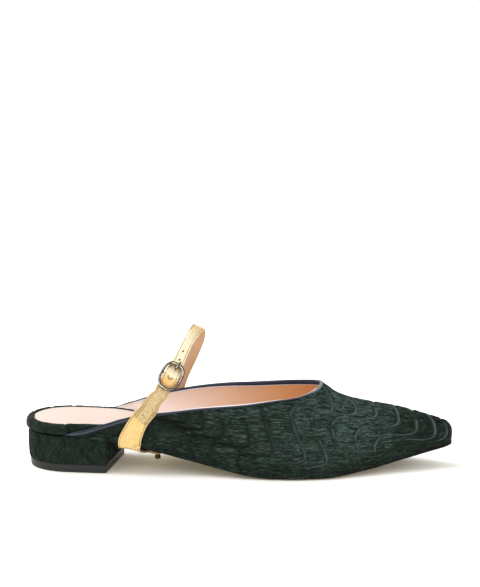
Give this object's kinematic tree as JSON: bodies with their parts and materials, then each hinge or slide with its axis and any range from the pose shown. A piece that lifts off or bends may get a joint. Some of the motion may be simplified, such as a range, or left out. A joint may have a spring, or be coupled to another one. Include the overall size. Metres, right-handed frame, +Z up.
{
  "type": "pointed mule shoe",
  "caption": "Pointed backless slip-on shoe with a low block heel, an open back and a buckled strap looped over the instep and under the waist.",
  "frame": {"origin": "middle of the shoe's length and width, on the floor it stands on", "axes": "+X from the heel to the toe, +Y to the inner side of the foot, +Z up"},
  "size_m": [0.2612, 0.0764, 0.0872],
  "materials": {
    "outsole": "smooth black edge",
    "heel_block": "calf hair cover",
    "heel_top_piece": "satin",
    "insole": "smooth nude sock",
    "upper": "short calf hair with pressed waves, nude lining",
    "strap_short": "metallic foil",
    "strap_long": "metallic foil",
    "buckle": "polished",
    "buckle_prong": "polished",
    "strap_stud": "polished"
  },
  "bodies": {
    "root": {"outsole": "outsole", "heel_block": "heel_block", "heel_top_piece": "heel_top_piece", "insole": "insole", "upper": "upper", "strap_short": "strap_short", "strap_long": "strap_long", "buckle": "buckle", "buckle_prong": "buckle_prong", "strap_stud": "strap_stud"}
  },
  "joints": []
}
